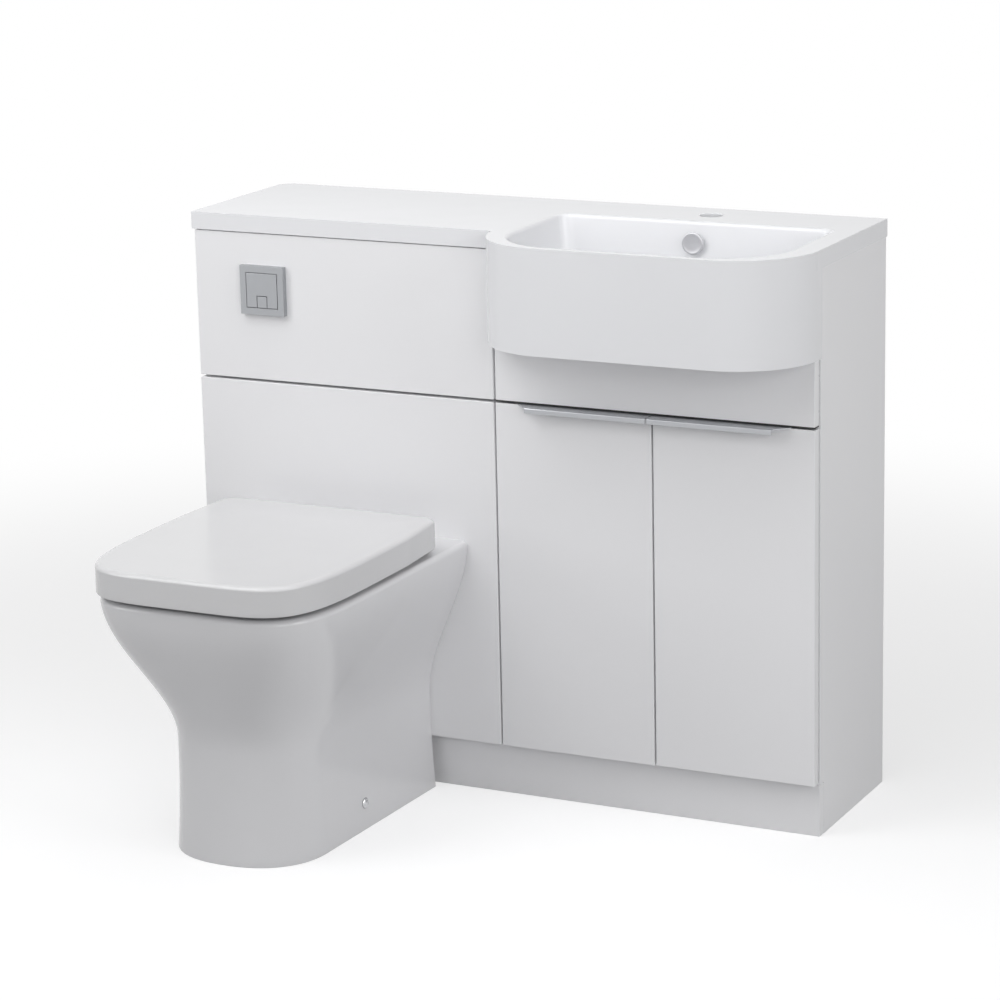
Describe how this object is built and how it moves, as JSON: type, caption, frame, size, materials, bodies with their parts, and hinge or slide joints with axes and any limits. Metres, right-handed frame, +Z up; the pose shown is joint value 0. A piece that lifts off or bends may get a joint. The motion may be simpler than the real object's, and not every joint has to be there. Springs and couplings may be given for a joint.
{
  "type": "toilet and basin combination unit",
  "caption": "White bathroom unit: a back-to-wall toilet with concealed cistern beside a cupboard with doors and pulls, under one worktop with a moulded basin.",
  "frame": {"origin": "on the floor, under the middle of the object's bounding box", "axes": "+X to the right as seen from the front, towards the basin; +Y back to the wall; +Z up"},
  "size_m": [1.004, 0.782, 0.86],
  "materials": {
    "cast_white": "gloss white cast mineral",
    "board_white": "white gloss lacquered board",
    "carcass_white": "white faced particle board",
    "ceramic_white": "gloss white glaze",
    "seat_white": "gloss white moulded",
    "chrome": "polished",
    "satin_chrome": "satin plated",
    "handle_metal": "satin",
    "zinc": "zinc plated",
    "grey_plastic": "moulded",
    "cistern_plastic": "moulded",
    "float_orange": "moulded",
    "valve_blue": "moulded",
    "tube_blue": "flexible",
    "rubber_dark": "matt",
    "rubber_grey": "matt"
  },
  "bodies": {
    "cabinet": {"worktop_basin": "cast_white", "overflow_cover": "chrome", "overflow_elbow": "grey_plastic", "overflow_hose": "cistern_plastic", "waste_body": "chrome", "waste_seals": "rubber_dark", "overflow_collar": "grey_plastic", "waste_backnut": "chrome", "wc_side_left": "board_white", "wc_side_right": "board_white", "wc_rails": "carcass_white", "wc_upper_panel": "board_white", "wc_lower_panel": "board_white", "panel_clips": "grey_plastic", "plinth": "board_white", "plinth_blocks": "grey_plastic", "basin_side_left": "board_white", "basin_side_right": "board_white", "basin_floor": "carcass_white", "basin_back": "carcass_white", "basin_rails": "carcass_white", "basin_upper_panel": "board_white", "shelf": "carcass_white", "shelf_pins": "zinc", "worktop_brackets": "zinc", "hinge_arms": "zinc", "flush_plate": "satin_chrome", "plate_nut": "grey_plastic", "pump_body": "grey_plastic", "air_tubes": "tube_blue", "cistern_tank": "cistern_plastic", "cistern_lid": "cistern_plastic", "cistern_brackets": "zinc", "fill_valve": "grey_plastic", "fill_valve_nut": "grey_plastic", "flush_valve": "cistern_plastic", "flush_valve_nut": "grey_plastic", "flush_pipe": "cistern_plastic", "flush_cone": "rubber_dark", "pan": "ceramic_white", "pan_fixings": "grey_plastic", "pan_screw_caps": "chrome", "seat_hinges": "chrome"},
    "left_door": {"left_door": "board_white", "left_handle": "handle_metal", "left_hinge_cups": "zinc", "left_buffers": "rubber_grey"},
    "right_door": {"right_door": "board_white", "right_handle": "handle_metal", "right_hinge_cups": "zinc", "right_buffers": "rubber_grey"},
    "seat": {"seat": "seat_white", "seat_buffers": "rubber_grey"},
    "lid": {"lid": "seat_white", "lid_buffers": "rubber_grey"},
    "full_flush_button": {"full_flush_button": "satin_chrome"},
    "half_flush_button": {"half_flush_button": "satin_chrome"},
    "flush_valve_piston": {"flush_piston": "valve_blue"},
    "fill_valve_float": {"float_cup": "float_orange"},
    "waste_plug": {"waste_plug": "chrome"}
  },
  "joints": [
    {"name": "left_door_hinge", "type": "hinge", "parent": "cabinet", "child": "left_door", "pos_m": [0.0015, 0.111, 0.3435], "axis": [0, 0, -1], "range_deg": [0, 95]},
    {"name": "right_door_hinge", "type": "hinge", "parent": "cabinet", "child": "right_door", "pos_m": [0.4985, 0.111, 0.3435], "axis": [0, 0, 1], "range_deg": [0, 95]},
    {"name": "seat_hinge", "type": "hinge", "parent": "cabinet", "child": "seat", "pos_m": [-0.24, 0.031, 0.412], "axis": [1, 0, 0], "range_deg": [-95, 0]},
    {"name": "lid_hinge", "type": "hinge", "parent": "seat", "child": "lid", "pos_m": [-0.24, 0.031, 0.412], "axis": [-1, 0, 0], "range_deg": [0, 95]},
    {"name": "flush_valve_lift", "type": "slide", "parent": "cabinet", "child": "flush_valve_piston", "axis": [0, 0, 1], "range_m": [0, 0.016]},
    {"name": "full_flush_press", "type": "slide", "parent": "cabinet", "child": "full_flush_button", "axis": [0, 1, 0], "range_m": [0, 0.004], "stiffness_N_per_m": 500, "springref_m": -0.008},
    {"name": "half_flush_press", "type": "slide", "parent": "cabinet", "child": "half_flush_button", "axis": [0, 1, 0], "range_m": [0, 0.004], "stiffness_N_per_m": 500, "springref_m": -0.008},
    {"name": "float_slide", "type": "slide", "parent": "cabinet", "child": "fill_valve_float", "axis": [0, 0, 1], "range_m": [0, 0.1]},
    {"name": "waste_plug_slide", "type": "slide", "parent": "cabinet", "child": "waste_plug", "axis": [0, 0, 1], "range_m": [0, 0.009]}
  ],
  "couplings": [
    {"joint": "full_flush_press", "follows": "flush_valve_lift", "ratio": 0.25}
  ]
}
